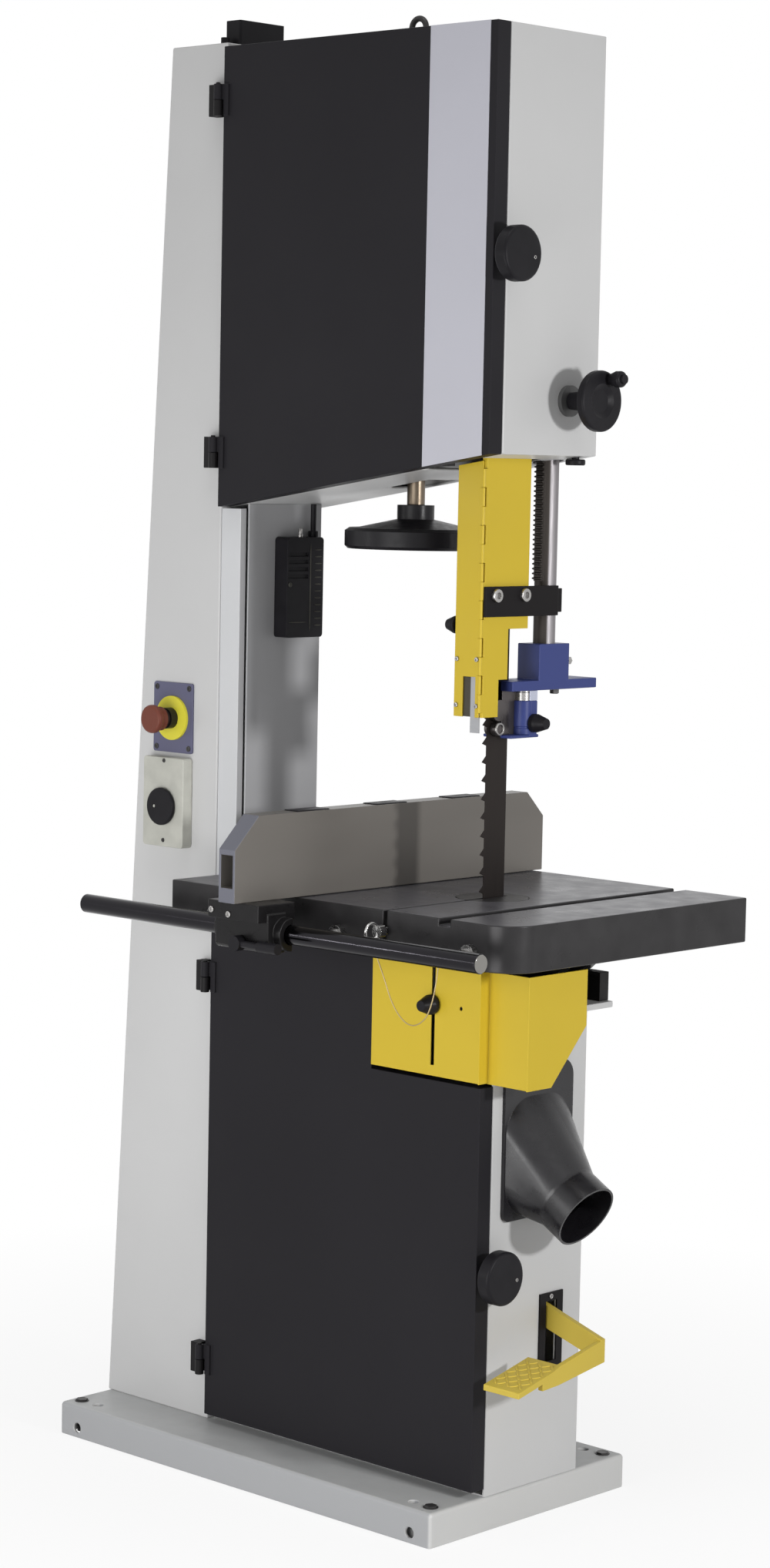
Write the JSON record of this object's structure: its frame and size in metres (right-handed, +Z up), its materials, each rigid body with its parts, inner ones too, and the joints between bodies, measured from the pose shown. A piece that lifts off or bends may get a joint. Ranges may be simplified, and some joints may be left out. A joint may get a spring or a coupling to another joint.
{
  "type": "resaw band saw",
  "caption": "Floor-standing resaw band saw: tapered box column, wheel cabinets with hinged doors, toothed blade, rising guide post and guard, tilting table with rail fence, foot brake",
  "frame": {"origin": "middle of the four floor anchor holes, on the floor plane under the base pan", "axes": "+Z up along the column, -Y towards the operator and the doors, +X from the column towards the blade side"},
  "size_m": [0.8545, 0.624, 1.972],
  "materials": {
    "grey_paint": "smooth light grey enamel",
    "charcoal_paint": "smooth dark charcoal enamel",
    "band_paint": "plain pale band, semi-gloss",
    "yellow_paint": "smooth safety yellow enamel",
    "blue_paint": "smooth blue enamel",
    "navy_plate": "matt navy grey plate",
    "black_metal": "black enamel on steel",
    "cast_iron": "ground and oiled grey iron",
    "wheel_iron": "turned iron",
    "steel": "bright drawn steel",
    "dark_steel": "blued steel",
    "blade_steel": "dark rolled strip steel",
    "aluminium": "brushed extruded aluminium",
    "black_plastic": "black moulded plastic",
    "beige_plastic": "grey-beige moulded plastic",
    "yellow_plastic": "yellow moulded plastic",
    "red_plastic": "dull red moulded plastic",
    "guide_pad": "pale ceramic-filled pad",
    "shield_grey": "pale grey shield plate",
    "tyre_rubber": "smooth black rubber",
    "belt_rubber": "ribbed black rubber",
    "motor_paint": "dark grey enamel",
    "wire": "thin plated wire"
  },
  "bodies": {
    "frame": {"base_pan": "grey_paint", "frame_screws": "dark_steel", "column": "grey_paint", "return_channel": "grey_paint", "upper_housing": "grey_paint", "lower_housing": "grey_paint", "frame_hinges": "black_metal", "lower_axle": "steel", "motor": "motor_paint", "drive_belt": "belt_rubber", "blade_cutting_run": "blade_steel", "blade_return_loop": "blade_steel", "upper_axle_block": "wheel_iron", "tension_slides": "steel", "post_guide": "wheel_iron", "tilt_saddles": "black_metal", "lower_guard": "yellow_paint", "dust_port": "black_plastic", "pedal_slot_plate": "black_metal", "electric_boxes": "black_plastic", "estop_plate": "navy_plate", "estop_ring": "yellow_plastic", "switch_box": "beige_plastic"},
    "upper_door": {"upper_door": "charcoal_paint", "door_band": "band_paint"},
    "upper_door_knob": {"upper_door_knob": "black_plastic"},
    "lower_door": {"lower_door": "charcoal_paint"},
    "lower_door_knob": {"lower_door_knob": "black_plastic"},
    "upper_wheel": {"upper_wheel": "wheel_iron", "upper_tyre": "tyre_rubber"},
    "lower_wheel": {"lower_wheel": "wheel_iron", "lower_tyre": "tyre_rubber"},
    "motor_rotor": {"motor_pulley": "steel"},
    "tension_handwheel": {"tension_handwheel": "black_metal"},
    "tracking_knob": {"tracking_knob": "black_plastic"},
    "guide": {"guide_post": "steel", "guard_bar": "black_metal", "guard_side": "yellow_paint", "guide_bracket": "blue_paint", "guide_pads": "guide_pad"},
    "post_handwheel": {"post_handwheel": "black_plastic"},
    "crank_grip": {"crank_grip": "black_plastic"},
    "post_lock_knob": {"post_lock_knob": "black_plastic"},
    "guard_front": {"guard_front": "yellow_paint", "guard_shield": "shield_grey"},
    "guard_knob": {"guard_knob": "black_plastic"},
    "guide_knob": {"guide_knob": "black_plastic"},
    "table": {"table": "cast_iron", "table_insert": "aluminium", "tilt_segments": "cast_iron", "fence_rail": "dark_steel", "table_studs": "steel", "pin_lanyard": "wire"},
    "fence": {"fence": "aluminium", "fence_carriage": "black_metal"},
    "fence_lever": {"fence_lever": "black_metal"},
    "lower_guard_knob": {"lower_guard_knob": "black_plastic"},
    "brake_pedal": {"brake_pedal": "yellow_paint"},
    "estop_button": {"estop_button": "red_plastic"},
    "switch_knob": {"switch_knob": "black_plastic"}
  },
  "joints": [
    {"name": "upper_door_hinge", "type": "hinge", "parent": "frame", "child": "upper_door", "pos_m": [-0.1465, -0.124, 1.6195], "axis": [0, 0, -1], "range_deg": [0, 110]},
    {"name": "upper_door_knob_turn", "type": "hinge", "parent": "upper_door", "child": "upper_door_knob", "pos_m": [0.379, -0.1045, 1.638], "axis": [1, 0, 0], "range_deg": [-180, 180]},
    {"name": "lower_door_hinge", "type": "hinge", "parent": "frame", "child": "lower_door", "pos_m": [-0.1465, -0.124, 0.4025], "axis": [0, 0, -1], "range_deg": [0, 110]},
    {"name": "lower_door_knob_turn", "type": "hinge", "parent": "lower_door", "child": "lower_door_knob", "pos_m": [0.389, -0.1045, 0.343], "axis": [1, 0, 0], "range_deg": [-180, 180]},
    {"name": "lower_wheel_spin", "type": "hinge", "parent": "frame", "child": "lower_wheel", "pos_m": [0.07815, -0.022, 0.34], "axis": [0, 1, 0], "continuous": true},
    {"name": "upper_wheel_spin", "type": "hinge", "parent": "frame", "child": "upper_wheel", "pos_m": [0.07815, -0.022, 1.665], "axis": [0, 1, 0], "continuous": true},
    {"name": "motor_spin", "type": "hinge", "parent": "frame", "child": "motor_rotor", "pos_m": [-0.022, 0.02, 0.545], "axis": [0, 1, 0], "continuous": true},
    {"name": "tension_turn", "type": "hinge", "parent": "frame", "child": "tension_handwheel", "pos_m": [0.07815, 0.039, 1.275], "axis": [0, 0, 1], "range_deg": [-720, 720]},
    {"name": "tracking_turn", "type": "hinge", "parent": "frame", "child": "tracking_knob", "pos_m": [0.07815, 0.12, 1.665], "axis": [0, 1, 0], "range_deg": [-360, 360]},
    {"name": "guide_slide", "type": "slide", "parent": "frame", "child": "guide", "axis": [0, 0, 1], "range_m": [-0.18, 0.14]},
    {"name": "post_handwheel_turn", "type": "hinge", "parent": "frame", "child": "post_handwheel", "pos_m": [0.397, 0.0335, 1.459], "axis": [1, 0, 0], "range_deg": [-1040, 810]},
    {"name": "crank_grip_spin", "type": "hinge", "parent": "post_handwheel", "child": "crank_grip", "pos_m": [0.417, 0.0475, 1.487], "axis": [1, 0, 0], "continuous": true},
    {"name": "post_lock_turn", "type": "hinge", "parent": "frame", "child": "post_lock_knob", "pos_m": [0.331, 0.068, 1.375], "axis": [0, 0, 1], "range_deg": [-180, 180]},
    {"name": "guard_front_hinge", "type": "hinge", "parent": "guide", "child": "guard_front", "pos_m": [0.3017, -0.076, 1.2], "axis": [0, 0, 1], "range_deg": [0, 85]},
    {"name": "guard_knob_turn", "type": "hinge", "parent": "guard_front", "child": "guard_knob", "pos_m": [0.245, -0.067, 1.17], "axis": [1, 0, 0], "range_deg": [-180, 180]},
    {"name": "guide_knob_turn", "type": "hinge", "parent": "guide", "child": "guide_knob", "pos_m": [0.32, 0.0235, 1.043], "axis": [1, 0, 0], "range_deg": [-180, 180]},
    {"name": "table_tilt", "type": "hinge", "parent": "frame", "child": "table", "pos_m": [0.284, 0, 0.816], "axis": [0, 1, 0], "range_deg": [0, 8]},
    {"name": "fence_slide", "type": "slide", "parent": "table", "child": "fence", "axis": [1, 0, 0], "range_m": [-0.2, 0.125]},
    {"name": "fence_lever_turn", "type": "hinge", "parent": "fence", "child": "fence_lever", "pos_m": [0.1175, -0.314, 0.764], "axis": [0, 1, 0], "range_deg": [0, 80]},
    {"name": "lower_guard_knob_turn", "type": "hinge", "parent": "frame", "child": "lower_guard_knob", "pos_m": [0.277, -0.14, 0.685], "axis": [0, 1, 0], "range_deg": [-180, 180]},
    {"name": "brake_press", "type": "hinge", "parent": "frame", "child": "brake_pedal", "pos_m": [0.18, 0.027, 0.318], "axis": [0, 1, 0], "range_deg": [0, 6], "stiffness_Nm_per_rad": 20, "springref_deg": -11.46},
    {"name": "estop_press", "type": "slide", "parent": "frame", "child": "estop_button", "axis": [0, 1, 0], "range_m": [0, 0.006], "stiffness_N_per_m": 1500, "springref_m": -0.004},
    {"name": "switch_turn", "type": "hinge", "parent": "frame", "child": "switch_knob", "pos_m": [-0.238, -0.13, 0.897], "axis": [0, 1, 0], "range_deg": [-45, 45]}
  ],
  "couplings": [
    {"joint": "upper_wheel_spin", "follows": "lower_wheel_spin", "ratio": 1},
    {"joint": "motor_spin", "follows": "lower_wheel_spin", "ratio": 2.0588},
    {"joint": "post_handwheel_turn", "follows": "guide_slide", "rad_per_m": 100}
  ]
}
